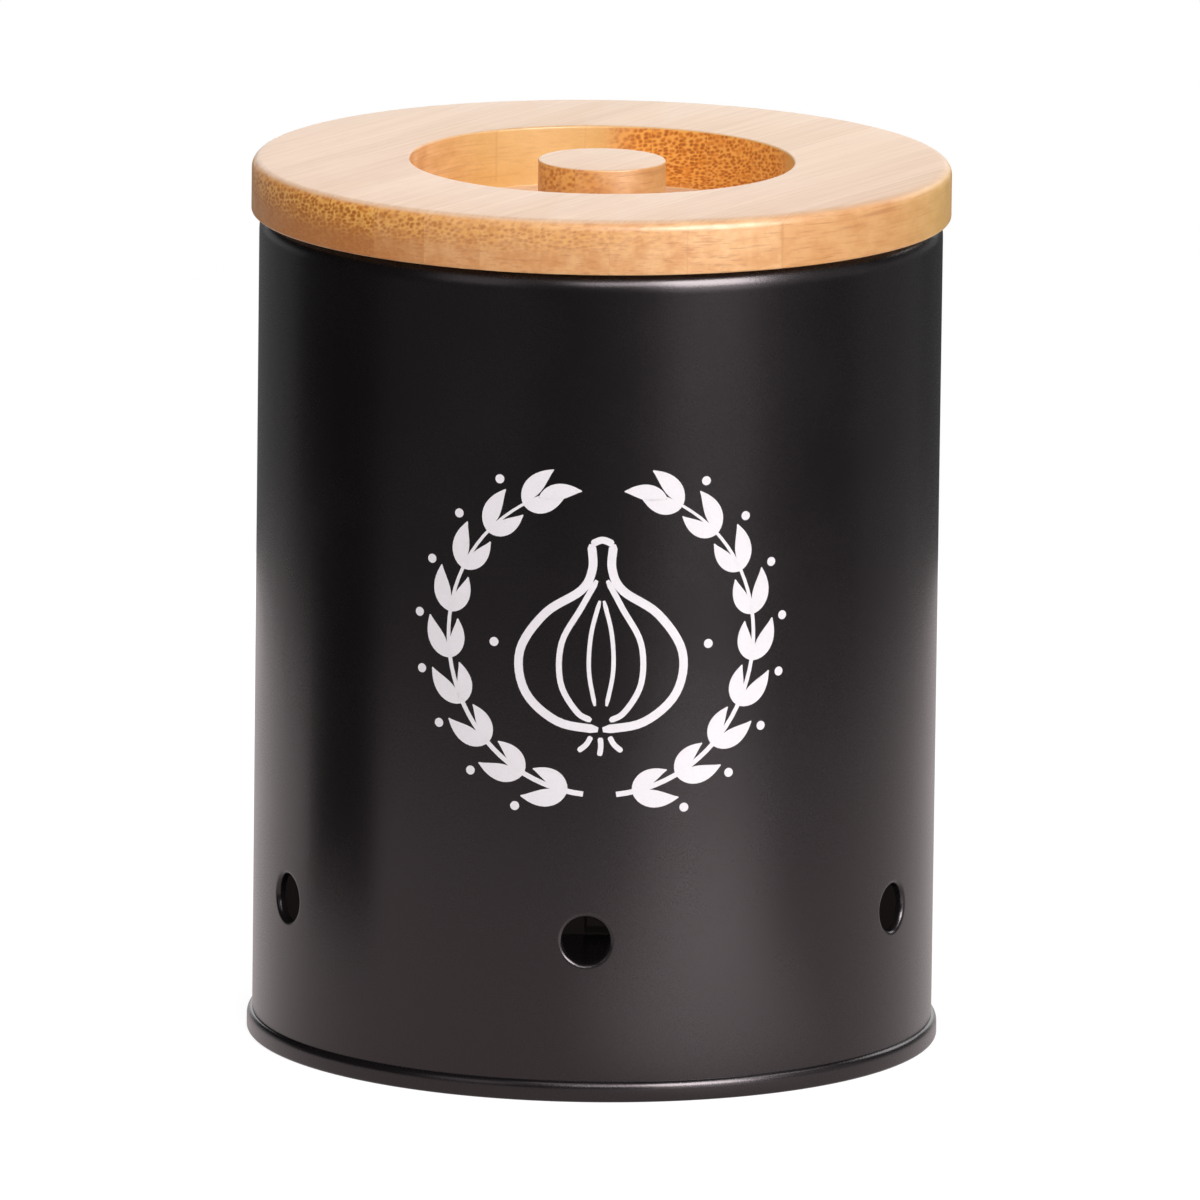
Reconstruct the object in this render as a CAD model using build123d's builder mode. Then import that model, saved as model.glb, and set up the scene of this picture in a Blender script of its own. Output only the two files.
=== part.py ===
from build123d import *

import os
from math import asin, cos, radians, sin

# A garlic keeper: a tin canister with air vents, closed by a pull-off lid of glued bamboo strips.
# Sizes are millimetres and +Z is up. The origin is the centre of the foot, on the table,
# and the front, with the middle vent, faces -Y.

# Tin canister
sheet = 0.3              # thickness of the tinplate
wall_r = 63.5            # outside of the rolled wall
tin_height = 154.9       # top of the curled mouth
curl_r = 2.2             # outside of the curl that hems the mouth
curl_flats = 8           # flats that a whole turn of the curl would have
curl_rolled = 4          # flats that the sheet rolls through
fold_gap = 0.04          # air left between two folded layers

# Double seam that joins the wall to the stamped base
foot_height = 3.2        # outside height of the double seam
hook_length = 1.8        # how far the wall's hook reaches up inside the seam
base_level = 4.2         # centreline of the base's panel

# Locked side seam, at the back
side_seam_low = 4.5
side_seam_high = 151.0
side_seam_flat = 3.6     # half width of the flattened zone
side_seam_hook = 2.4     # from the seam's middle to the outside of a hook's bend
side_seam_tuck = 1.5     # from the seam's middle to a hook's free edge
side_seam_slope = 0.55   # spread of the joggle that leads the inner sheet under the outer one
side_seam_lead = 0.3     # where the round wall runs into the flattened zone
side_seam_bend_r = 0.32  # centreline radius of a hook's tight bend

# Air vents
vent_count = 5
vent_pitch = 62.3        # degrees from one vent to the next
vent_level = 30.2        # height of the vents' centres
vent_r = 5.0
vent_collar = 1.8        # depth of the collar drawn inwards
vent_lip = 0.4           # slope on the outside, where the sheet turns into the collar
vent_root = 0.06         # how far the collar's root reaches into the curved wall

# Bamboo lid
lid_r = 65.0
lid_top = 165.0
board = 10.0             # upper board: the rim ring, and the knob left standing in it
rim_edge = 2.0           # rounding of the rim's top edge
rim_edge_flats = 2       # flats that draw the rounding, between corners on a quarter circle
dish_r = 35.7            # finger dish milled round the knob
dish_below_joint = 1.2   # how far the dish runs on into the lower board
knob_r = 11.85
plug_r = 57.9
plug_height = 8.0

# Seal in a rebate round the plug, under the upper board, drawn as the mouth squeezes it
rebate_depth = 2.4
rebate_height = 3.4
seal_clearance = 0.1     # between the seal and its rebate
seal_r = 58.9

# Bamboo strips, side by side across the grain
grain_turn = -30         # the strips' run from joint to joint, in degrees from +X
strip_width = 11.2
rim_first_joint = 1.3    # a joint of the upper board, from the centre
plug_first_joint = -4.3  # a joint of the lower board, half a strip from the upper one's

lid_underside = lid_top - board
plug_bottom = lid_underside - plug_height
wall_mid_r = wall_r - sheet / 2
layer = sheet + fold_gap

os.makedirs("parts", exist_ok=True)


def write_part(part, name):
    part.label = name
    export_step(part, f"parts/{name}.step")


# ---- Wall of the tin: curled mouth, rolled wall, locked side seam, vents and seam hook ----

# The curl's corners lie on a circle. Its first flat carries on straight up from the wall.
curl_corner_r = (curl_r - sheet / 2) / cos(radians(180 / curl_flats))
curl_corners = []
for corner in range(curl_rolled + 1):
    angle = radians((corner + 0.5) * 360 / curl_flats)
    curl_corners.append(
        (
            wall_r - curl_r + curl_corner_r * cos(angle),
            tin_height - curl_r + curl_corner_r * sin(angle),
        )
    )

wall_hook_r = wall_mid_r + 2 * layer
wall_foot = sheet + fold_gap + sheet / 2
wall_hook_top = wall_foot + hook_length

# Angle from the middle of the side seam to where the flattened zone starts
seam_turn = asin(side_seam_flat / wall_mid_r)
seam_start_y = wall_mid_r * cos(seam_turn)
seam_x = side_seam_flat - side_seam_lead * cos(seam_turn)
seam_y = seam_start_y + side_seam_lead * sin(seam_turn)

with BuildPart() as tin_wall:
    with BuildSketch(Plane.XY.offset(wall_foot)) as rolled_section:
        Circle(wall_r)
        Circle(wall_r - sheet, mode=Mode.SUBTRACT)
    extrude(amount=curl_corners[0][1] - wall_foot)
    with BuildSketch(Plane.XZ) as curl_section:
        with BuildLine():
            Polyline((wall_mid_r, side_seam_high), *curl_corners)
        trace(line_width=sheet)
    revolve(axis=Axis.Z)
    with BuildSketch(Plane.XZ) as hook_section:
        with BuildLine():
            Polyline(
                (wall_mid_r, side_seam_low),
                (wall_mid_r, wall_foot),
                (wall_hook_r, wall_foot),
                (wall_hook_r, wall_hook_top),
            )
        trace(line_width=sheet)
    revolve(axis=Axis.Z)

    # The rolled sheet's two edges meet at the back, where they are hooked into each other.
    with BuildSketch(Plane.XY.offset(side_seam_low)) as seam_opening:
        with BuildLine():
            opening_y = 2 * seam_start_y
            opening_x = 2 * side_seam_flat
            Polyline((0, 0), (-opening_x, opening_y), (opening_x, opening_y), close=True)
        make_face()
    extrude(amount=side_seam_high - side_seam_low, mode=Mode.SUBTRACT)
    with BuildSketch(Plane.XY.offset(side_seam_low)) as hooked_section:
        with BuildLine():
            FilletPolyline(
                (-side_seam_flat, seam_start_y),
                (-seam_x, seam_y),
                (side_seam_hook, seam_y),
                (side_seam_hook, seam_y - 2 * layer),
                (-side_seam_tuck, seam_y - 2 * layer),
                radius=side_seam_bend_r,
            )
            FilletPolyline(
                (side_seam_flat, seam_start_y),
                (seam_x, seam_y),
                (side_seam_hook + side_seam_slope / 2, seam_y - 3 * layer),
                (-side_seam_hook, seam_y - 3 * layer),
                (-side_seam_hook, seam_y - layer),
                (side_seam_tuck, seam_y - layer),
                radius=(sheet / 2, sheet / 2, side_seam_bend_r, side_seam_bend_r),
            )
        trace(line_width=sheet)
    extrude(amount=side_seam_high - side_seam_low)

    # Each vent is pierced and its edge drawn inwards into a short collar.
    for vent in range(vent_count):
        angle = radians(vent_pitch * (vent - (vent_count - 1) / 2))
        outward = Vector(sin(angle), -cos(angle), 0)
        vent_centre = outward * wall_r + Vector(0, 0, vent_level)
        with BuildSketch(Plane(vent_centre - outward * vent_collar, z_dir=outward)):
            Circle(vent_r + sheet)
        extrude(amount=vent_collar - sheet + vent_root)
        with Locations(Plane(vent_centre, z_dir=outward)):
            CounterSinkHole(vent_r, vent_r + vent_lip, depth=2 * vent_collar, counter_sink_angle=90)
write_part(tin_wall.part, "tin_wall")

# ---- Stamped base, folded round the wall's hook ----

chuck_wall_r = wall_mid_r - layer
base_hook_r = wall_mid_r + layer
foot_r = wall_mid_r + 3 * layer
foot_top = foot_height - sheet / 2
base_hook_end = wall_foot + sheet + fold_gap

with BuildPart() as tin_base:
    with BuildSketch(Plane.XZ) as base_section:
        with BuildLine():
            Polyline(
                (base_hook_r, base_hook_end),
                (base_hook_r, foot_top),
                (foot_r, foot_top),
                (foot_r, sheet / 2),
                (chuck_wall_r, sheet / 2),
                (chuck_wall_r, base_level),
                (0, base_level),
            )
        trace(line_width=sheet)
    revolve(axis=Axis.Z)
write_part(tin_base.part, "tin_base")

# ---- Lid boards, whole, before they are parted into their strips ----

rounding = CenterArc((lid_r - rim_edge, lid_top - rim_edge), rim_edge, 0, 90)
rim_corners = [rounding @ (corner / rim_edge_flats) for corner in range(rim_edge_flats + 1)]

with BuildPart() as rim_board:
    with BuildSketch(Plane.XZ) as rim_section:
        with BuildLine():
            Polyline(
                *rim_corners,
                (dish_r, lid_top),
                (dish_r, lid_underside),
                (lid_r, lid_underside),
                close=True,
            )
        make_face()
    revolve(axis=Axis.Z)

with BuildPart() as knob_board:
    with BuildSketch(Plane.XY.offset(lid_underside)) as knob_section:
        Circle(knob_r)
    extrude(amount=board)

with BuildPart() as plug_board:
    with BuildSketch(Plane.XZ) as plug_section:
        with Locations((0, plug_bottom)):
            Rectangle(plug_r, plug_height, align=(Align.MIN, Align.MIN))
        with Locations((plug_r, lid_underside)):
            Rectangle(rebate_depth, rebate_height, align=(Align.MAX, Align.MAX), mode=Mode.SUBTRACT)
        with Locations((knob_r, lid_underside)):
            Rectangle(
                dish_r - knob_r,
                dish_below_joint,
                align=(Align.MIN, Align.MAX),
                mode=Mode.SUBTRACT,
            )
    revolve(axis=Axis.Z)

# ---- Bamboo strips ----

across_grain = Plane.XY.rotated((0, 0, grain_turn))


def glue_joints(first_joint, radius):
    """Where a round board's strips meet, from one side of the disc to the other."""
    joints = [first_joint]
    while joints[0] - strip_width > -radius:
        joints.insert(0, joints[0] - strip_width)
    while joints[-1] + strip_width < radius:
        joints.append(joints[-1] + strip_width)
    return [-radius, *joints, radius]


def write_strip(whole_board, name, left, right, near, far):
    """Parts one strip from a board. left and right lie across the grain, near and far along it."""
    with BuildPart() as strip:
        add(whole_board.part)
        with BuildSketch(across_grain):
            with Locations(((left + right) / 2, (near + far) / 2)):
                Rectangle(right - left, far - near)
        extrude(amount=lid_top + board, mode=Mode.INTERSECT)
    write_part(strip.part, name)


rim_joints = glue_joints(rim_first_joint, lid_r)
for number, (left, right) in enumerate(zip(rim_joints, rim_joints[1:]), start=1):
    name = f"rim_strip_{number:02d}"
    # The dish cuts a strip in two wherever it crosses the strip's whole width.
    if max(abs(left), abs(right)) < dish_r:
        write_strip(rim_board, f"{name}_front", left, right, -lid_r, 0)
        write_strip(rim_board, f"{name}_back", left, right, 0, lid_r)
    else:
        write_strip(rim_board, name, left, right, -lid_r, lid_r)

knob_joints = glue_joints(rim_first_joint, knob_r)
for number, (left, right) in enumerate(zip(knob_joints, knob_joints[1:]), start=1):
    write_strip(knob_board, f"knob_strip_{number}", left, right, -knob_r, knob_r)

plug_joints = glue_joints(plug_first_joint, plug_r)
for number, (left, right) in enumerate(zip(plug_joints, plug_joints[1:]), start=1):
    write_strip(plug_board, f"plug_strip_{number:02d}", left, right, -plug_r, plug_r)

# ---- Silicone seal: a plain band in the rebate ----

seal_inside_r = plug_r - rebate_depth + seal_clearance

with BuildPart() as lid_seal:
    with BuildSketch(Plane.XY.offset(lid_underside - rebate_height + seal_clearance)) as seal_section:
        Circle(seal_r)
        Circle(seal_inside_r, mode=Mode.SUBTRACT)
    extrude(amount=rebate_height - 2 * seal_clearance)
write_part(lid_seal.part, "lid_seal")
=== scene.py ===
"""A garlic keeper: a black enamelled tin with air vents, closed by a pull-off bamboo lid."""

from math import cos, pi, radians, sin, tan

import bmesh
import bpy
from mathutils import Matrix, Vector


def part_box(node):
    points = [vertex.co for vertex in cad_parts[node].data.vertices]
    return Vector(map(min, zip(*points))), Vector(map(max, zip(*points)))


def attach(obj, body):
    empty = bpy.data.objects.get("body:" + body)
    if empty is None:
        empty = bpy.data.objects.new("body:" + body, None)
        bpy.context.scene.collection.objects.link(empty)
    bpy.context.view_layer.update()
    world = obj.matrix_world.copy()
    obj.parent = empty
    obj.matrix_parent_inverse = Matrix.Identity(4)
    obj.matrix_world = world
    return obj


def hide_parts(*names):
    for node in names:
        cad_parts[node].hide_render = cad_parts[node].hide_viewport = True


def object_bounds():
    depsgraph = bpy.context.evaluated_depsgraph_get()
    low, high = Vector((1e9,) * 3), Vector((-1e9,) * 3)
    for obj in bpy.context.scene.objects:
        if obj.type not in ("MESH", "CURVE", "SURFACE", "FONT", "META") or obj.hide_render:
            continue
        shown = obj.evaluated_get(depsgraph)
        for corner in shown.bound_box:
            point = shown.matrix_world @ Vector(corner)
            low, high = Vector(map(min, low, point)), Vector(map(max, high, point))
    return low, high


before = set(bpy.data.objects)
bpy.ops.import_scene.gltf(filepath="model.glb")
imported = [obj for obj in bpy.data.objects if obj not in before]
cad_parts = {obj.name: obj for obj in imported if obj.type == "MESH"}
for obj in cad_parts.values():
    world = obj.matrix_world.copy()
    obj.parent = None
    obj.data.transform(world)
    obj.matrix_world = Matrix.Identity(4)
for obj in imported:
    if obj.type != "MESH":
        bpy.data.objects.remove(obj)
cad_low, cad_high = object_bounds()

MM = 0.001

# ---- Sizes in millimetres, in the frame's axes: +Z up, the front faces -Y ----

# Tin
sheet = 0.3
wall_r = 63.5
half_round = pi * wall_r       # from the front round to the back, along the wall
tin_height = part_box("tin_wall")[1].z / MM
curl_r = 2.2                   # half of the curl's width
curl_rise = 3.4                # half of its height
curl_turn = radians(225)       # how far the sheet rolls
curl_root = tin_height - curl_rise
fold_gap = 0.04
layer = sheet + fold_gap
wall_bottom = 0.64             # hidden in the foot seam

# The locked side seam, at the back
seam_low = 4.5
seam_high = 151.0
seam_half = 3.6                # half width of its flattened zone
seam_dip = 0.1                 # how far the zone's middle lies inside the round
seam_hook = 2.4                # from its middle to the outer fold
seam_groove = 0.45             # width of the groove beside the fold
seam_groove_depth = 0.3
seam_fade = 1.5                # height over which it runs out at its two ends
seam_layers = 3                # that it adds inside the wall
seam_slope = 0.4               # width over which they begin

# Foot seam and base
foot_r = min(-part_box("tin_base")[0].x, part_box("tin_base")[1].x) / MM
panel_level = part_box("tin_base")[1].z / MM
foot_height = panel_level - 0.55
foot_shoulder = 1.5            # height of the rounding of the seam's upper edge
foot_ledge = 0.95              # width of that rounding
foot_edge = 0.5                # rounding of the foot's bottom edges
chuck_r = 62.86                # inside of the base's upright wall
chuck_lean = 0.35              # how far that wall leans in at the panel
panel_round = 0.5
panel_fillet = 0.6

# Air vents
vent_count = 5
vent_pitch = radians(62.3)
vent_level = 30.2
vent_r = 4.45
vent_lip = 0.8                 # rounding where the sheet turns inwards
vent_collar = 1.7
vent_arris = 0.05
vent_patch = 9.0               # half side of the square of sheet drawn round each vent
patch_lines = 16               # mesh lines along each side of that square
patch_step = 2 * vent_patch / patch_lines
vent_centres = [vent_pitch * (vent - (vent_count - 1) / 2) * wall_r for vent in range(vent_count)]

# Print on the front
print_centre = 2.2             # its middle, as a distance round the wall from the front
print_level = 86.7
ink = 0.05                     # how far the ink stands off the enamel
ink_root = 0.01                # how far it reaches into the enamel
wreath_r = 29.0
bulb_scale = 1.06

# Lid
lid_r = min(cad_high.x, cad_high.y, -cad_low.x, -cad_low.y) / MM
lid_top = cad_high.z / MM
board = 10.0
lid_underside = lid_top - board
rim_round = 2.0
rim_arris = 0.45
dish_r = 35.7
dish_round = 0.5
dish_level = 153.8             # floor of the finger dish
dish_fillet = 0.3
knob_r = 11.85
knob_round = 0.35
grain_turn = radians(-30)
fibre_turn = radians(-38)      # the fibres lie a little askew in the strips
strip_width = 11.2
rim_first_joint = 1.3
plug_first_joint = -4.3
plug_r = 57.9
plug_bottom = 147.0
plug_arris = 0.6
rebate_r = 55.5                # bottom of the rebate for the seal
rebate_level = 151.6
rebate_arris = 0.15

# Seal: a band with two soft fins
seal_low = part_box("lid_seal")[0].z / MM
seal_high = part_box("lid_seal")[1].z / MM
seal_middle = (seal_low + seal_high) / 2
seal_r = 58.88
seal_foot_r = 55.6
seal_root_r = 57.9
seal_lead = 0.3                # straight band under the lower fin
fin_levels = (seal_low + 1.0, seal_middle + 0.75)
fin_thickness = 0.35
fin_round = 0.12
fin_fillet = 0.1
seal_round = 0.15

# ---- Shader maths ----


class Value:
    """A number that a material works out, so that its maths reads as plain arithmetic."""

    def __init__(self, nodes, socket):
        self.nodes = nodes
        self.socket = socket

    def maths(self, operation, *others):
        settings = {"operation": operation}
        return self.nodes.value("ShaderNodeMath", 0, settings, dict(enumerate((self, *others))))

    def turned_round(self, operation, other):
        return self.nodes.value("ShaderNodeMath", 0, {"operation": operation}, {0: other, 1: self})

    def __add__(self, other):
        return self.maths("ADD", other)

    def __radd__(self, other):
        return self.maths("ADD", other)

    def __sub__(self, other):
        return self.maths("SUBTRACT", other)

    def __rsub__(self, other):
        return self.turned_round("SUBTRACT", other)

    def __mul__(self, other):
        return self.maths("MULTIPLY", other)

    def __rmul__(self, other):
        return self.maths("MULTIPLY", other)

    def __truediv__(self, other):
        return self.maths("DIVIDE", other)

    def __pow__(self, other):
        return self.maths("POWER", other)

    def floor(self):
        return self.maths("FLOOR")

    def fraction(self):
        return self.maths("FRACT")

    def size(self):
        return self.maths("ABSOLUTE")

    def at_most(self, other):
        return self.maths("MINIMUM", other)

    def at_least(self, other):
        return self.maths("MAXIMUM", other)

    def ramp(self, low, high):
        """0 below low, 1 above high and smooth between. It falls instead if low is above high."""
        settings = {"interpolation_type": "SMOOTHSTEP"}
        values = {"Value": self, "From Min": low, "From Max": high}
        return self.nodes.value("ShaderNodeMapRange", "Result", settings, values)


class Nodes:
    """The nodes of a material or of the world while they are being made."""

    def __init__(self, tree):
        self.tree = tree
        tree.nodes.clear()

    def node(self, kind, settings=None, values=None):
        """Adds a node: first its settings, then the values or links of its sockets."""
        node = self.tree.nodes.new(kind)
        for name, setting in (settings or {}).items():
            setattr(node, name, setting)
        for socket, value in (values or {}).items():
            if isinstance(value, Value):
                self.tree.links.new(value.socket, node.inputs[socket])
            else:
                node.inputs[socket].default_value = value
        return node

    def value(self, kind, output, settings=None, values=None):
        return Value(self, self.node(kind, settings, values).outputs[output])

    def rays(self):
        """Whether a ray comes from the lens, and whether it comes from there, from a gloss or
        through something clear."""
        paths = self.node("ShaderNodeLightPath")
        lens = Value(self, paths.outputs["Is Camera Ray"])
        seen = lens.at_least(Value(self, paths.outputs["Is Glossy Ray"]))
        return lens, seen.at_least(Value(self, paths.outputs["Is Transmission Ray"]))


class Finish(Nodes):
    """A material while it is being made."""

    def __init__(self, name):
        self.material = bpy.data.materials.new(name)
        self.material.use_nodes = True
        super().__init__(self.material.node_tree)

    def axes(self, output):
        """The three parts of one of the surface's own coordinates."""
        split = self.node("ShaderNodeSeparateXYZ", None, {0: self.value("ShaderNodeTexCoord", output)})
        return [Value(self, split.outputs[axis]) for axis in range(3)]

    def place(self):
        """Where a point of the surface is, in millimetres, along X, Y and Z."""
        return [part * (1 / MM) for part in self.axes("Object")]

    def facing(self):
        """The surface's outward direction along X, Y and Z."""
        return self.axes("Normal")

    def vector(self, x, y, z):
        return self.value("ShaderNodeCombineXYZ", 0, None, {0: x, 1: y, 2: z})

    def noise(self, where, scale, detail=2.0, roughness=0.5):
        values = {"Vector": where, "Scale": scale, "Detail": detail, "Roughness": roughness}
        return self.value("ShaderNodeTexNoise", "Fac", None, values)

    def mix(self, first, second, factor):
        """Two colours mixed."""
        return self.value("ShaderNodeMix", 2, {"data_type": "RGBA"}, {0: factor, 6: first, 7: second})

    def bump(self, height, depth):
        return self.value("ShaderNodeBump", "Normal", None, {"Height": height, "Distance": depth * MM})

    def shader(self, values):
        """The main surface shader, linked to the output."""
        surface = self.value("ShaderNodeBsdfPrincipled", 0, None, values)
        self.node("ShaderNodeOutputMaterial", None, {"Surface": surface})
        return self.material


# ---- Finishes ----


def colour(red, green, blue):
    """An opaque colour from sRGB levels of 0 to 255."""
    levels = [level / 255 for level in (red, green, blue)]
    return (*[c / 12.92 if c <= 0.04045 else ((c + 0.055) / 1.055) ** 2.4 for c in levels], 1.0)


def enamel():
    """Baked satin enamel: almost black, with a very fine orange peel and a faint cloudiness.
    Inside the tin it is a thinner, duller coat."""
    finish = Finish("black enamel")
    x, y, z = finish.place()
    where = finish.vector(x, y, z)
    peel = finish.noise(where, 2.2, 3.0)
    cloud = finish.noise(where, 0.05)
    speck = finish.noise(where, 6.0, 1.0)

    # The inside of the wall, from the base's panel up to the curl
    nx, ny = finish.facing()[:2]
    outward = (x * nx + y * ny) / (x * x + y * y) ** 0.5
    inside = outward.ramp(-0.3, -0.6) * (z - 3.8).ramp(0.0, 0.2) * z.ramp(152.5, 152)
    black = finish.mix(colour(15, 13, 14), colour(19, 17, 18), cloud)
    return finish.shader(
        {
            "Base Color": finish.mix(black, colour(50, 44, 43), inside),
            "Specular IOR Level": 0.45,
            "Specular Tint": (1.0, 0.87, 0.9, 1.0),
            "Roughness": 0.27 + inside * 0.15 + (cloud - 0.5) * 0.06 + (speck - 0.5) * 0.05,
            "Normal": finish.bump(peel, 0.012),
        }
    )


def bamboo(name, first_joint):
    """Strips of bamboo glued side by side: bundles of fibre that run along the grain,
    seen end on as dark dots in a paler mesh and side on as fine streaks."""
    finish = Finish(name)
    x, y, z = finish.place()
    depth = lid_top - z
    across = x * cos(grain_turn) + y * sin(grain_turn)
    along = y * cos(grain_turn) - x * sin(grain_turn)
    strips = (across - first_joint) / strip_width

    def each_strip(seed):
        """A level of 0 to 1 that differs from strip to strip."""
        settings = {"noise_dimensions": "1D"}
        return finish.value("ShaderNodeTexWhiteNoise", "Value", settings, {"W": strips.floor() + seed})

    def grain(across_scale, along_scale, z_scale, shift=0.0, detail=3.0, roughness=0.5):
        """Noise drawn out along the grain."""
        where = finish.vector(across * across_scale, along * along_scale, z * z_scale + shift)
        return finish.noise(where, 1.0, detail, roughness)

    tone = each_strip(3566.515)
    age = each_strip(361.005)
    fine = grain(5, 0.05, 5)
    blotch = grain(0.5, 0.02, 0.7, tone * 9)
    mottle = grain(0.3, 0.16, 0.35, tone * 9, 4.0, 0.6)
    streak = grain(0.4, 0.04, 2.4)
    lines = grain(1.7, 0.02, 1.7, 0.0, 4.0, 0.7)

    # The bundles are large near the top face, and lie closer together towards the underside.
    crowded = depth + depth * depth * 0.04
    drift = finish.noise(finish.vector(across, along * 0.05, z), 0.3)
    cell = finish.vector(
        across * 0.95 + drift * 1.6 + tone * 50,
        along * 0.012,
        crowded * 1.1 + across * 0.25 + drift * 1.2,
    )
    values = {"Vector": cell, "Scale": 1.0, "Randomness": 0.8, "Smoothness": 0.15}
    bundle = finish.value("ShaderNodeTexVoronoi", "Distance", {"feature": "SMOOTH_F1"}, values)

    # The back of the upper board is toasted darker, and its bundles show all the way down.
    toasted = along.ramp(-12, 20)
    toasted_depth = 7.0            # how much farther down they show there
    nx, ny, nz = finish.facing()
    end_on = (ny * cos(fibre_turn) - nx * sin(fibre_turn)).size()
    end_grain = end_on.ramp(0.45 + toasted * 0.3, 0.97 - toasted * 0.05)
    pale = tone * (1 - toasted * 0.7)
    below = depth - toasted * toasted_depth
    fade = 0.15 + below.ramp(7.2, 3.0) * 0.85
    strength = end_grain * fade * (1.2 - pale * 0.85) * blotch.ramp(0.22, 0.52)
    core = bundle.ramp(0.56, 0.18) * strength
    pith = bundle.ramp(0.46, 0.66) * strength

    honey = finish.mix(colour(214, 150, 92), colour(242, 192, 138), mottle.ramp(0.2, 0.8))
    honey = finish.mix(honey, colour(222, 177, 98), toasted * (1 - end_grain) * 0.7)
    honey = finish.mix(honey, colour(208, 142, 74), age.ramp(0.4, 1.0) * (1 - toasted) * 0.45)
    amber = finish.mix(colour(208, 132, 38), colour(224, 138, 36), toasted)
    amber = finish.mix(amber, colour(178, 107, 50), below.ramp(1.5, 7.0))
    honey = finish.mix(honey, amber, end_grain * (1.02 - pale * 0.8))
    honey = finish.mix(honey, colour(178, 108, 58), streak.ramp(0.5, 0.72) * (1 - toasted * 0.6) * 0.45)
    honey = finish.mix(honey, colour(168, 92, 20), core * 0.85)
    gold = finish.mix(colour(242, 184, 98), colour(244, 182, 90), toasted)
    honey = finish.mix(honey, gold, pith * 0.65)
    honey = finish.mix(honey, colour(200, 136, 80), fine.ramp(0.5, 0.8) * 0.3)

    # Flat faces that look up are pale from sanding, and their colour is lifted further by a painted sheen,
    # the gloss they show at a low angle. A thin line of glue shows at each joint.
    sanding = lines.ramp(0.3, 0.7) * 0.5 + (1 - age) * 0.45
    sanded_and_sheen = finish.mix(colour(208, 166, 132), colour(238, 206, 178), sanding)
    # Painted sheen: the pale top colour stands for gloss as well as for the bare wood.
    honey = finish.mix(honey, sanded_and_sheen, nz.ramp(0.6, 0.95) * 0.85)
    from_joint = strips.fraction().at_most(1 - strips.fraction()) * strip_width
    honey = finish.mix(honey, colour(190, 132, 78), from_joint.ramp(0.16, 0.04) * (0.16 + age * 0.14))
    return finish.shader(
        {
            "Base Color": honey,
            "Roughness": 0.46 + core * 0.1 + (age - 0.5) * 0.05,
            "Normal": finish.bump(fine * 0.3 - core, 0.02),
            "Specular IOR Level": 0.25,
            "Coat Weight": 0.45,
            "Coat Roughness": 0.36,
        }
    )


def silicone():
    """Milky translucent rubber."""
    finish = Finish("silicone")
    dust = finish.noise(finish.vector(*finish.place()), 1.6, 3.0)
    return finish.shader(
        {
            "Base Color": finish.mix(colour(214, 216, 212), colour(228, 230, 227), dust),
            "Roughness": 0.42 + (dust - 0.5) * 0.2,
            "Transmission Weight": 0.35,
            "IOR": 1.41,
        }
    )


def white_ink():
    """Screen-printed ink, a little uneven, with the tooth of the enamel under it."""
    finish = Finish("white ink")
    tooth = finish.noise(finish.vector(*finish.place()), 3.0, 3.0)
    return finish.shader(
        {
            "Base Color": finish.mix(colour(218, 210, 214), colour(232, 226, 230), tooth),
            "Roughness": 0.55 + (tooth - 0.5) * 0.15,
            "Normal": finish.bump(tooth, 0.008),
        }
    )


# ---- Mesh helpers ----


def solid_mesh(vertices, faces):
    """A closed mesh that is still open to cuts, from points in millimetres."""
    shape = bmesh.new()
    points = [shape.verts.new(Vector(vertex) * MM) for vertex in vertices]
    for face in faces:
        shape.faces.new([points[corner] for corner in face])
    bmesh.ops.remove_doubles(shape, verts=shape.verts, dist=1e-7)
    bmesh.ops.recalc_face_normals(shape, faces=shape.faces)
    return shape


crease = radians(32)           # sharper edges than this stay crisp


def add_piece(name, shape, finish, body):
    """A piece that rides on a body and has a finish of its own."""
    mesh = bpy.data.meshes.new(name)
    shape.to_mesh(mesh)
    shape.free()
    mesh.shade_smooth()
    mesh.set_sharp_from_angle(angle=crease)
    mesh.materials.append(finish)
    piece = bpy.data.objects.new(name, mesh)
    bpy.context.scene.collection.objects.link(piece)
    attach(piece, body)
    return piece


def rounded(corners, steps=8):
    """A closed outline from corners (radius, height, rounding), with an arc at each rounded corner."""
    path = []
    for index, (r, z, rounding) in enumerate(corners):
        corner = Vector((r, z))
        if rounding == 0:
            path.append(corner)
            continue
        before = (Vector(corners[index - 1][:2]) - corner).normalized()
        after = (Vector(corners[(index + 1) % len(corners)][:2]) - corner).normalized()
        half = before.angle(after) / 2
        centre = corner + (before + after).normalized() * rounding / sin(half)
        first = corner + before * rounding / tan(half) - centre
        last = corner + after * rounding / tan(half) - centre
        turn = first.angle_signed(last)
        for step in range(steps + 1):
            path.append(centre + Matrix.Rotation(-turn * step / steps, 2) @ first)
    return path


def turned(outline, steps):
    """Vertices and faces of a closed outline (radius, height) turned once round the axis."""
    vertices = []
    faces = []
    count = len(outline)
    for step in range(steps):
        angle = 2 * pi * step / steps
        for r, z in outline:
            vertices.append((r * sin(angle), -r * cos(angle), z))
        start = step * count
        following = (step + 1) % steps * count
        for here in range(count):
            there = (here + 1) % count
            faces.append((start + here, following + here, following + there, start + there))
    return vertices, faces


# ---- The tin ----


def wall_point(s, z, depth):
    """A point of the wall from its run round the can (0 at the front), its height and its depth."""
    angle = s / wall_r
    r = wall_r - depth
    return (r * sin(angle), -r * cos(angle), z)


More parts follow.
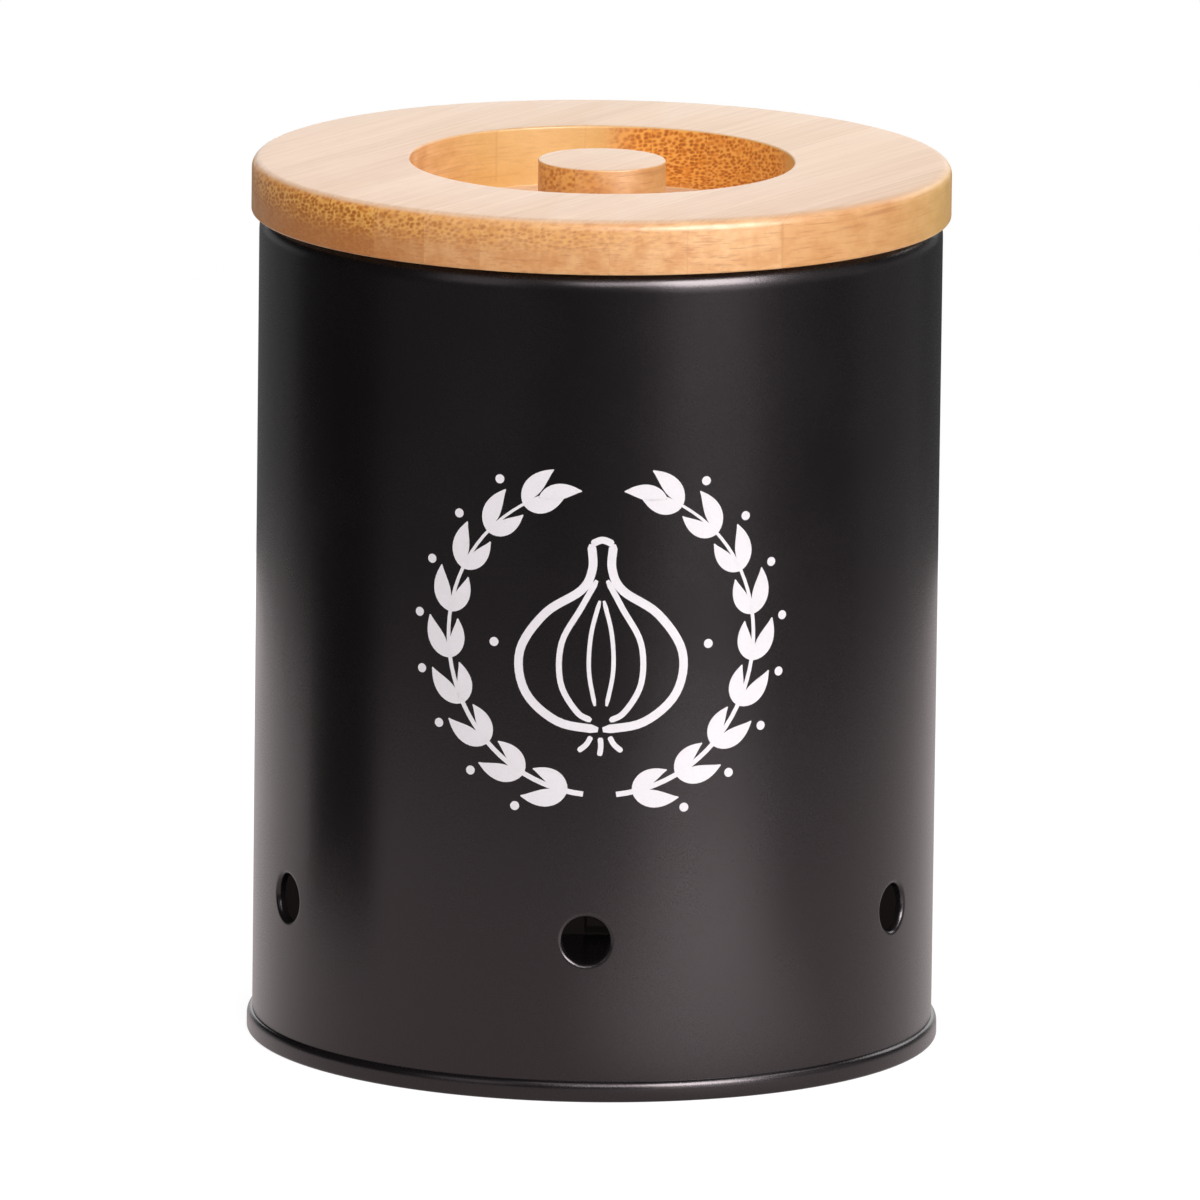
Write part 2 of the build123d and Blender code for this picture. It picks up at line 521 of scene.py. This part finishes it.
def seam_depths(s, z):
    """How far the wall's outside and its inside lie within the round, the side seam included."""
    from_seam = half_round - abs(s)
    side = from_seam if s < 0 else -from_seam
    ends = min(1, max(0, (z - seam_low) / seam_fade), max(0, (seam_high - z) / seam_fade))
    outer = 0.0
    inner = 0.0
    if from_seam < seam_half:
        outer = seam_dip * (1 - (from_seam / seam_half) ** 2)
        groove = 1 - abs(side - seam_hook - seam_groove / 2) / (seam_groove / 2)
        outer += seam_groove_depth * max(0, groove) ** 0.5
    if from_seam < seam_hook + seam_slope:
        inner = seam_layers * layer * min(1, (seam_hook + seam_slope - from_seam) / seam_slope)
    return outer * ends, sheet + inner * ends


def wall_columns():
    """Where the mesh lines run down the wall, as distances round it from the front."""
    between = 24                   # spaces from vent to vent
    behind = 20                    # and from an outer vent to the seam's zone
    seam_zone = 5                  # half width of that zone
    lines = []
    for centre in vent_centres:
        lines += [centre + patch_step * (line - patch_lines / 2) for line in range(patch_lines + 1)]
    for first, second in zip(vent_centres, vent_centres[1:]):
        start, end = first + vent_patch, second - vent_patch
        lines += [start + (end - start) * line / between for line in range(1, between)]
    start = vent_centres[-1] + vent_patch
    for side in (1, -1):
        reach = half_round - seam_zone - start
        lines += [side * (start + reach * line / behind) for line in range(1, behind + 1)]
    hooked_side = (0.3, 0.9, 1.5, 2.1, 2.35, 2.5, 2.65, 2.8, 3.0, 3.3, 3.6, 4.2)
    plain_side = (0.3, 0.9, 1.5, 2.1, 2.5, 2.8, 3.2, 3.6, 4.2)
    lines += [place - half_round for place in hooked_side]
    lines += [half_round - place for place in plain_side]
    return sorted(lines)


class Wall:
    """The wall's mesh while it is being made: two skins on a net of columns and rows, joined at
    the bottom, over the curl and through the vents. Points are shared by their names."""

    def __init__(self):
        self.vertices = []
        self.faces = []
        self.names = {}
        self.columns = wall_columns()
        self.rows = wall_rows()
        self.count = len(self.columns)

    def point(self, name, s, z, depth):
        if name not in self.names:
            self.names[name] = len(self.vertices)
            self.vertices.append(wall_point(s, z, depth))
        return self.names[name]

    def skin_point(self, side, column, row):
        s, z = self.columns[column], self.rows[row]
        return self.point((side, column, row), s, z, seam_depths(s, z)[side])

    def lay_skins(self):
        """The outside (0) and the inside (1), left open where the vents come."""
        for side in (0, 1):
            for row, (low, high) in enumerate(zip(self.rows, self.rows[1:])):
                near_vents = abs((low + high) / 2 - vent_level) < vent_patch
                for column in range(self.count):
                    following = (column + 1) % self.count
                    middle = half_round
                    if following:
                        middle = (self.columns[column] + self.columns[following]) / 2
                    if near_vents and any(abs(middle - centre) < vent_patch for centre in vent_centres):
                        continue
                    places = ((column, row), (following, row), (following, row + 1), (column, row + 1))
                    corners = [self.skin_point(side, *place) for place in places]
                    self.faces.append(corners if side == 0 else corners[::-1])

    def join(self, outlines):
        """Faces between neighbouring outlines, which run from the outside skin to the inside one."""
        for here, there in outlines:
            for step in range(len(here) - 1):
                self.faces.append((here[step], there[step], there[step + 1], here[step + 1]))

    def around(self, outline_at):
        """Pairs of neighbouring outlines all round the wall."""
        outlines = [outline_at(column) for column in range(self.count)]
        return zip(outlines, outlines[1:] + outlines[:1])

    def lay_foot(self):
        self.join(self.around(lambda column: [self.names[(side, column, 0)] for side in (0, 1)]))

    def lay_curl(self):
        top = len(self.rows) - 1
        roll = curl_outline()

        def outline_at(column):
            inner = [
                self.point(("curl", column, place), self.columns[column], level, depth)
                for place, (depth, level) in enumerate(roll)
            ]
            return [self.names[(0, column, top)], *inner, self.names[(1, column, top)]]

        self.join(self.around(outline_at))

    def lay_vent(self, centre):
        """A square of sheet drawn down to a round hole: over the lip, through the collar and back."""
        first_column = self.nearest(self.columns, centre - vent_patch)
        first_row = self.nearest(self.rows, vent_level - vent_patch)
        run = range(patch_lines)
        border = [(line, 0) for line in run]
        border += [(patch_lines, line) for line in run]
        border += [(patch_lines - line, patch_lines) for line in run]
        border += [(0, patch_lines - line) for line in run]
        outlines = []
        for place, (across, up) in enumerate(border):
            column, row = (first_column + across) % self.count, first_row + up
            square = Vector((self.columns[column] - centre, self.rows[row] - vent_level))
            outline = [self.names[(0, column, row)]]
            for number, (spot, depth) in enumerate(vent_outline(square)):
                name = ("vent", round(centre), place, number)
                outline.append(self.point(name, centre + spot.x, vent_level + spot.y, depth))
            outlines.append([*outline, self.names[(1, column, row)]])
        self.join(zip(outlines, outlines[1:] + outlines[:1]))

    @staticmethod
    def nearest(levels, level):
        """The place in a list of levels of the one nearest to a level."""
        return min(range(len(levels)), key=lambda index: abs(levels[index] - level))


def wall_rows():
    """Heights of the mesh lines round the wall."""
    above = 16                     # spaces above the vents
    levels = [vent_level + patch_step * (line - patch_lines / 2) for line in range(patch_lines + 1)]
    levels += [wall_bottom, 2.5, 3.6, seam_low, seam_low + seam_fade, 9.0, 13.0, 17.0]
    top = vent_level + vent_patch
    levels += [top + (seam_high - seam_fade - top) * line / above for line in range(1, above + 1)]
    return sorted([*levels, seam_high, curl_root])


def curl_outline():
    """Depths and levels over the rolled sheet, round its free edge and back inside the roll."""
    steps = 22
    turns = [curl_turn * step / steps for step in range(1, steps + 1)]

    def on_curl(turn, inset):
        level = curl_root + (curl_rise - inset) * sin(turn)
        return Vector((curl_r - (curl_r - inset) * cos(turn), level))

    outline = [on_curl(turn, 0) for turn in turns]
    ahead = Vector((curl_r * sin(curl_turn), curl_rise * cos(curl_turn))).normalized()
    for nose in (pi / 4, pi / 2, pi * 3 / 4):
        middle = on_curl(curl_turn, sheet * (1 - cos(nose)) / 2)
        outline.append(middle + ahead * sheet / 2 * sin(nose))
    return outline + [on_curl(turn, sheet) for turn in reversed(turns)]


def vent_outline(square):
    """Places about a vent's middle, and their depths, from a point on its square of sheet inwards
    over the lip, along the collar and back behind the sheet."""
    outward = square.normalized()
    lip_r = vent_r + vent_lip
    back_lip = vent_lip - sheet
    edge = 0.08                    # rounding of the collar's free edge
    collar_depths = (1.1, 1.4, vent_collar - vent_arris)
    outline = [(square.lerp(outward * lip_r, share), 0.0) for share in (0.3, 0.55, 0.75, 0.88, 0.95, 1.0)]
    for turn in [pi / 2 * step / 8 for step in range(1, 9)]:
        outline.append((outward * (lip_r - vent_lip * sin(turn)), vent_lip - vent_lip * cos(turn)))
    outline += [(outward * vent_r, depth) for depth in collar_depths]
    outline += [(outward * r, vent_collar) for r in (vent_r + edge, vent_r + sheet - edge)]
    outline += [(outward * (vent_r + sheet), depth) for depth in reversed(collar_depths)]
    for turn in [pi / 2 * step / 4 for step in range(4, -1, -1)]:
        outline.append((outward * (lip_r - back_lip * sin(turn)), vent_lip - back_lip * cos(turn)))
    return outline + [(square.lerp(outward * lip_r, share), sheet) for share in (0.88, 0.75, 0.55, 0.3)]


def make_wall(finish):
    wall = Wall()
    wall.lay_skins()
    wall.lay_foot()
    wall.lay_curl()
    for centre in vent_centres:
        wall.lay_vent(centre)
    shape = solid_mesh(wall.vertices, wall.faces)
    piece = add_piece("tin_wall_rolled", shape, finish, "tin")
    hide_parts("tin_wall")


def make_base(finish):
    """The stamped base: the folded foot seam and the panel set up inside it."""
    steps = 10
    shoulder = []
    for turn in [pi / 2 * (1 - step / steps) for step in range(steps + 1)]:
        r = foot_r + foot_ledge * (cos(turn) - 1)
        shoulder.append((r, foot_height + foot_shoulder * (sin(turn) - 1), 0))
    outline = rounded(
        [
            (0, panel_level, 0),
            (chuck_r - chuck_lean, panel_level, panel_round),
            (chuck_r, foot_height, 0),
            *shoulder,
            (foot_r, 0, foot_edge),
            (chuck_r, 0, foot_edge),
            (chuck_r, panel_level - sheet, panel_fillet),
            (0, panel_level - sheet, 0),
        ]
    )
    shape = solid_mesh(*turned(outline, 256))
    base = add_piece("tin_base_stamped", shape, finish, "tin")
    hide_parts("tin_base")


# ---- The lid ----

across_grain = Vector((cos(grain_turn), sin(grain_turn), 0))
along_grain = Vector((-sin(grain_turn), cos(grain_turn), 0))


def cut_away(shape, point, normal):
    """Cuts a solid mesh by a plane, keeps the side that the normal points to and closes the cut."""
    everything = shape.verts[:] + shape.edges[:] + shape.faces[:]
    bmesh.ops.bisect_plane(
        shape, geom=everything, dist=1e-7, plane_co=point, plane_no=normal, clear_inner=True
    )
    bmesh.ops.holes_fill(shape, edges=[edge for edge in shape.edges if edge.is_boundary], sides=0)


def make_strip(outline, name, left, right, side, finish):
    """One strip of a glued board. side is 1 or -1 where the dish leaves two pieces, and 0 otherwise."""
    shape = solid_mesh(*turned(outline, 288))
    cut_away(shape, across_grain * left * MM, across_grain)
    cut_away(shape, across_grain * right * MM, -across_grain)
    if side:
        cut_away(shape, Vector((0, 0, 0)), along_grain * side)
    piece = add_piece(f"{name}_bamboo", shape, finish, "lid")
    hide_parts(name)


def strips_of(first_joint, radius):
    """Number, left and right of each strip across a round board of the given radius."""
    joints = [first_joint]
    while joints[0] - strip_width > -radius:
        joints.insert(0, joints[0] - strip_width)
    while joints[-1] + strip_width < radius:
        joints.append(joints[-1] + strip_width)
    outside = radius + 1           # a cut there takes nothing away
    edges = [-outside, *joints, outside]
    return [(number, *pair) for number, pair in enumerate(zip(edges, edges[1:]), start=1)]


def make_rim(finish):
    rim = rounded(
        [
            (dish_r, lid_underside, 0),
            (lid_r, lid_underside, rim_arris),
            (lid_r, lid_top, rim_round),
            (dish_r, lid_top, dish_round),
        ]
    )
    for number, left, right in strips_of(rim_first_joint, lid_r):
        name = f"rim_strip_{number:02d}"
        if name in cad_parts:
            make_strip(rim, name, left, right, 0, finish)
        else:
            make_strip(rim, f"{name}_front", left, right, -1, finish)
            make_strip(rim, f"{name}_back", left, right, 1, finish)


def make_knob(finish):
    knob = rounded(
        [(0, lid_underside, 0), (knob_r, lid_underside, 0), (knob_r, lid_top, knob_round), (0, lid_top, 0)]
    )
    for number, left, right in strips_of(rim_first_joint, knob_r):
        make_strip(knob, f"knob_strip_{number}", left, right, 0, finish)


def make_plug(finish):
    plug = rounded(
        [
            (0, plug_bottom, 0),
            (plug_r, plug_bottom, plug_arris),
            (plug_r, rebate_level, rebate_arris),
            (rebate_r, rebate_level, 0),
            (rebate_r, lid_underside, 0),
            (dish_r, lid_underside, 0),
            (dish_r, dish_level, dish_fillet),
            (knob_r, dish_level, dish_fillet),
            (knob_r, lid_underside, 0),
            (0, lid_underside, 0),
        ]
    )
    for number, left, right in strips_of(plug_first_joint, plug_r):
        make_strip(plug, f"plug_strip_{number:02d}", left, right, 0, finish)


def make_seal(finish):
    corners = [
        (seal_foot_r, seal_low, seal_round),
        (seal_root_r, seal_low, fin_fillet),
        (seal_root_r, seal_low + seal_lead, fin_fillet),
    ]
    roots = ((seal_middle, seal_round), (seal_high, fin_fillet))
    for fin_level, (root_level, root_round) in zip(fin_levels, roots):
        corners.append((seal_r, fin_level, fin_round))
        corners.append((seal_r, fin_level + fin_thickness, fin_round))
        corners.append((seal_root_r, root_level, root_round))
    corners.append((seal_foot_r, seal_high, seal_round))
    shape = solid_mesh(*turned(rounded(corners, 4), 192))
    seal = add_piece("lid_seal_finned", shape, finish, "lid")
    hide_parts("lid_seal")


# ---- The print on the front: a garlic bulb in a wreath of leaves ----


def smooth_line(points, steps=6):
    """A smooth path through points, by Catmull-Rom curves."""
    points = [Vector(point) for point in points]
    padded = [2 * points[0] - points[1], *points, 2 * points[-1] - points[-2]]
    path = []
    for before, start, end, after in zip(padded, padded[1:], padded[2:], padded[3:]):
        for step in range(steps):
            t = step / steps
            path.append(
                start
                + (end - before) * t / 2
                + (2 * before - 5 * start + 4 * end - after) * t**2 / 2
                + (3 * start - before - 3 * end + after) * t**3 / 2
            )
    path.append(points[-1])
    return path


class Print:
    """Thin plates of ink that follow the wall, placed from the middle of the print."""

    def __init__(self):
        self.vertices = []
        self.faces = []

    def stroke(self, path, widths):
        """A plate along a path, with the given width at each of its points."""
        first = len(self.vertices)
        for index, point in enumerate(path):
            ahead = path[min(index + 1, len(path) - 1)] - path[max(index - 1, 0)]
            aside = Vector((-ahead.y, ahead.x)).normalized() * widths[index] / 2
            for edge, depth in ((1, -ink), (-1, -ink), (-1, ink_root), (1, ink_root)):
                spot = point + aside * edge
                self.vertices.append(wall_point(print_centre + spot.x, print_level + spot.y, depth))
        for here in range(first, len(self.vertices) - 4, 4):
            for corner in range(4):
                following = (corner + 1) % 4
                self.faces.append((here + corner, here + following, here + 4 + following, here + 4 + corner))
        last = len(self.vertices)
        self.faces.append((first, first + 1, first + 2, first + 3))
        self.faces.append((last - 1, last - 2, last - 3, last - 4))

    def line(self, points, width):
        """A line of even width with narrowed ends."""
        path = smooth_line([(x * bulb_scale, y * bulb_scale) for x, y in points])
        widths = [width] * len(path)
        widths[0] = widths[-1] = width * 0.55
        self.stroke(path, widths)

    def leaf(self, root, direction, length, width, bend):
        """A pointed leaf. direction is in radians, and bend turns its tip."""
        steps = 12
        tip_width = 0.18
        path = []
        widths = []
        for t in [step / steps for step in range(steps + 1)]:
            path.append(root + toward(direction + bend * t) * length * t)
            widths.append(max(tip_width, width * sin(pi * t**0.85) ** 0.9))
        self.stroke(path, widths)

    def dot(self, centre):
        radius = 0.85
        steps = 11
        turns = [pi * (step + 0.5) / steps for step in range(steps)]
        path = [centre + Vector((-cos(turn), 0)) * radius for turn in turns]
        self.stroke(path, [2 * radius * sin(turn) for turn in turns])


def toward(turn, side=1):
    """A step of 1 mm at a turn from the right, or on the left side its mirror image."""
    return Vector((side * cos(turn), sin(turn)))


# The bulb's right half, one line after another, each with its width, and what crosses the middle
bulb_outside = (
    (1.9, 17.0),
    (1.7, 12.6),
    (3.6, 8.8),
    (9.8, 4.6),
    (14.2, -2.2),
    (13.2, -9.4),
    (7.6, -14.4),
    (0.4, -15.8),
)
bulb_clove = ((0.9, 10.6), (3.6, 5.6), (6.9, -0.6), (7.0, -7.6), (4.2, -12.6), (1.6, -14.2))
bulb_seam = ((0.35, 7.0), (1.8, 1.0), (2.1, -5.4), (1.0, -11.6))
side_root = ((1.6, -17.0), (2.4, -18.4), (3.8, -19.6))
bulb_half = ((bulb_outside, 1.6), (bulb_clove, 1.1), (bulb_seam, 0.8), (side_root, 1.0))
bulb_top = ((-1.9, 17.0), (0, 17.7), (1.9, 17.0))
middle_root = ((0, -17.2), (0.1, -18.8), (-0.1, -20.4))


def print_wreath(ink_print, side):
    """Half of the wreath, from the bottom upwards. side is 1 on the right and -1 on the left."""
    stem_start = radians(-84)
    stem_end = radians(66)
    first_leaves = radians(-78)
    leaf_pitch = radians(17.2)
    leaf_lean = radians(36)
    leaf_pairs = 9
    berry_lead = radians(14.5)
    berry_reach = 6.2

    def growing(turn):
        """The stem's direction at a turn round the wreath."""
        return turn + pi / 2 if side > 0 else pi / 2 - turn

    shares = [step / 40 for step in range(41)]
    turns = [stem_start + (stem_end - stem_start) * share for share in shares]
    stem = [toward(turn, side) * wreath_r for turn in turns]
    ink_print.stroke(stem, [1.0 - 0.5 * share for share in shares])
    for pair in range(leaf_pairs):
        turn = first_leaves + leaf_pitch * pair
        for way, length, width in ((-1, 8.6, 3.3), (1, 7.4, 2.9)):
            lean = leaf_lean * way * side
            root = toward(turn, side) * (wreath_r - way * 0.3)
            ink_print.leaf(root, growing(turn) + lean, length, width, -lean * 0.5)
        if pair < leaf_pairs - 1:
            ink_print.dot(toward(turn + berry_lead, side) * (wreath_r + berry_reach))
    ink_print.leaf(toward(stem_end, side) * wreath_r, growing(stem_end), 8.0, 3.0, 0.25 * side)


def make_print(finish):
    ink_print = Print()
    for side in (1, -1):
        print_wreath(ink_print, side)
        for points, width in bulb_half:
            ink_print.line([(side * x, y) for x, y in points], width)
        ink_print.dot(Vector((side * 20, -1.0)))
    ink_print.line(bulb_top, 1.3)
    ink_print.line(middle_root, 1.0)
    shape = solid_mesh(ink_print.vertices, ink_print.faces)
    add_piece("front_print", shape, finish, "tin")


# ---- Build ----

black = enamel()
make_wall(black)
make_base(black)
upper_board = bamboo("bamboo, upper board", rim_first_joint)
make_rim(upper_board)
make_knob(upper_board)
make_plug(bamboo("bamboo, lower board", plug_first_joint))
make_seal(silicone())
make_print(white_ink())

# ---- Stage: sizes in metres. Screens and cards are seen in reflections only ----


def stage_mesh(name, vertices, faces, finish):
    mesh = bpy.data.meshes.new(name)
    mesh.from_pydata(vertices, [], faces)
    mesh.materials.append(finish)
    item = bpy.data.objects.new(name, mesh)
    bpy.context.scene.collection.objects.link(item)
    return item


def disc(name, radius, behind, level, finish, steps=96):
    """A flat disc whose centre lies behind the can by the given distance."""
    angles = [2 * pi * step / steps for step in range(steps)]
    rim = [(radius * cos(angle), behind + radius * sin(angle), level) for angle in angles]
    return stage_mesh(name, rim, [tuple(range(steps))], finish)


def at_azimuth(azimuth, reach, level):
    """A point round the can. Azimuths run in degrees from the front to the right."""
    angle = radians(azimuth)
    return Vector((reach * sin(angle), -reach * cos(angle), level))


def only_reflected(item):
    """Leaves an item to reflections alone."""
    item.visible_camera = False
    item.visible_diffuse = False
    item.visible_shadow = False


def screen(name, azimuths, near, far, finish, steps=24):
    """A sheet round the can between two edges, each given by its radius and its level."""
    start, end = azimuths
    vertices = []
    for azimuth in [start + (end - start) * step / steps for step in range(steps + 1)]:
        vertices += [at_azimuth(azimuth, *near), at_azimuth(azimuth, *far)]
    faces = [(2 * step, 2 * step + 2, 2 * step + 3, 2 * step + 1) for step in range(steps)]
    only_reflected(stage_mesh(name, vertices, faces, finish))


def cloth(name, glow=0.0):
    """Black cloth, or cloth that glows evenly."""
    return Finish(name).shader(
        {
            "Base Color": (0.01, 0.01, 0.01, 1.0),
            "Roughness": 1.0,
            "Specular IOR Level": 0.0,
            "Emission Color": (1.0, 1.0, 1.0, 1.0),
            "Emission Strength": glow,
        }
    )


def paper():
    """Matt white paper. To the lens and in reflections it is lifted to white, shadows stay. In reflections
    the lift is a painted glow, brighter towards the left and a little warm.
    """
    finish = Finish("white paper")
    lens, seen = finish.rays()
    x = finish.place()[0]
    # Painted glow: in reflections the paper is brighter towards the left, and a little warm.
    level = seen * (0.58 - x * 0.0004) + lens * 0.2
    tint = (seen - lens) * 0.085
    return finish.shader(
        {
            "Base Color": (0.35, 0.35, 0.35, 1.0),
            "Roughness": 1.0,
            "Specular IOR Level": 0.0,
            "Emission Color": finish.vector(level, level - tint, level - tint),
            "Emission Strength": 1.0,
        }
    )


def make_world():
    """White to the lens and in reflections, and a weaker fill for the rest."""
    world = bpy.data.worlds.new("studio")
    bpy.context.scene.world = world
    world.use_nodes = True
    nodes = Nodes(world.node_tree)
    white = (1, 1, 1, 1)
    fill = nodes.value("ShaderNodeBackground", 0, None, {"Color": white, "Strength": 0.48})
    backdrop = nodes.value("ShaderNodeBackground", 0, None, {"Color": white, "Strength": 1.0})
    lens, seen = nodes.rays()
    surface = nodes.value("ShaderNodeMixShader", 0, None, {0: seen, 1: fill, 2: backdrop})
    nodes.node("ShaderNodeOutputWorld", None, {"Surface": surface})


disc("floor", 0.4, 0.06, 0.0, paper())
make_world()

screen_r = 1.6
screen_foot = -0.05
horizon = 0.25                 # where the side screens end and their dark heads begin
screen_top = 1.6
apron_near = 0.3
apron_far = 3.0
apron_level = -0.012
black_cloth = cloth("dark cloth")
foot, middle, top = [(screen_r, level) for level in (screen_foot, horizon, screen_top)]
screen("front_flag", (-116, 95), foot, top, black_cloth)
screen("left_flag", (-95, -66), (0.19, 0.0), (0.19, 0.5), black_cloth)
screen("left_screen", (-155, -116), foot, middle, cloth("left screen", 0.35))
screen("left_head", (-160, -116), middle, top, black_cloth)
screen("right_screen", (95, 155), foot, middle, cloth("right screen", 0.28))
screen("right_head", (95, 155), middle, top, black_cloth)
for side, azimuths, glow in (
    ("left", (-172, -118), 0.16),
    ("front", (-75, -20), 0.12),
    ("right", (95, 135), 0.17),
    ("back", (135, 188), 0.08),
):
    finish = cloth(f"{side} apron", glow)
    screen(f"{side}_apron", azimuths, (apron_near, apron_level), (apron_far, apron_level), finish)
only_reflected(disc("overhead_card", 1.7, 0.0, 1.25, black_cloth))
only_reflected(disc("dark_ground", 5.0, 0.0, -0.02, black_cloth))


# ---- Lamps, in metres ----

lamp_aim = Vector((0, 0, 0.09))


def add_lamp(name, kind, power, place):
    """A lamp that the lens doesn't see."""
    lamp = bpy.data.lights.new(name, kind)
    lamp.energy = power
    item = bpy.data.objects.new(name, lamp)
    bpy.context.scene.collection.objects.link(item)
    item.location = place
    item.visible_camera = False
    return item


def softbox(name, azimuth, elevation, distance, width, height, power):
    """A plain rectangular lamp that faces the can."""
    up = radians(elevation)
    back = at_azimuth(azimuth, cos(up), sin(up))
    item = add_lamp(name, "AREA", power, lamp_aim + back * distance)
    item.data.shape = "RECTANGLE"
    item.data.size = width
    item.data.size_y = height
    item.rotation_mode = "QUATERNION"
    item.rotation_quaternion = back.to_track_quat("Z", "Y")
    return item


def floor_spot(name, azimuth, reach, height, spread, power):
    """A spot lamp that looks straight down on the paper beside the can."""
    item = add_lamp(name, "SPOT", power, at_azimuth(azimuth, reach, height))
    item.data.spot_size = radians(spread)
    item.data.spot_blend = 1.0
    item.visible_glossy = False


# The first two only make the gleams on the enamel.
softbox("strip", 39, 16, 1.3, 0.75, 0.95, 7).visible_diffuse = False
softbox("gleam_card", 40, 30, 1.28, 0.64, 0.7, 31).visible_diffuse = False
softbox("key", 12, 30, 1.3, 0.7, 0.3, 7)
softbox("front_card", -5, 52, 1.3, 0.6, 0.5, 2.3)
softbox("left_card", -40, 22, 1.3, 0.6, 0.7, 1.5)
softbox("right_card", 80, 10, 1.3, 1.0, 0.6, 0.7)
softbox("right_top_card", 78, 45, 1.3, 0.6, 0.4, 3.0)
softbox("right_back_card", 136, 26, 1.3, 0.6, 0.4, 3.0)
softbox("left_back_card", -118, 28, 1.3, 0.35, 0.35, 0.7).visible_glossy = False
softbox("back_card", 180, 14, 1.3, 1.2, 0.5, 1.3)

glow_inside = add_lamp("glow_inside", "POINT", 0.04, (0, 0, 0.03))
glow_inside.data.shadow_soft_size = 0.02
glow_inside.visible_glossy = False
floor_spot("near_paper_spot", 30, 0.165, 1.2, 10, 220)
floor_spot("far_paper_spot", 36, 0.28, 1.2, 12, 260)

# ---- Camera ----

focal_length = 660.2           # on a sensor 36 mm wide
camera_distance = 4.1008
camera_pitch = radians(11.319)
camera_roll = radians(0.7065)
camera_turn = radians(1.1)
camera_aim = Vector((0.000623, 0.0, 0.081559))


def make_camera():
    lens = bpy.data.cameras.new("camera")
    lens.sensor_width = 36.0
    lens.lens = focal_length
    lens.clip_end = 50
    camera = bpy.data.objects.new("camera", lens)
    bpy.context.scene.collection.objects.link(camera)
    back = Vector((0, -cos(camera_pitch), sin(camera_pitch)))
    right = Vector((1, 0, 0))
    up = back.cross(right)
    rolled_right = right * cos(camera_roll) + up * sin(camera_roll)
    rolled_up = up * cos(camera_roll) - right * sin(camera_roll)
    turn = Matrix.Rotation(camera_turn, 4, "Z")
    axes = Matrix((rolled_right, rolled_up, back)).transposed().to_4x4()
    camera.matrix_world = turn @ Matrix.Translation(camera_aim + back * camera_distance) @ axes
    bpy.context.scene.camera = camera


make_camera()
bpy.context.scene.view_settings.view_transform = "Standard"
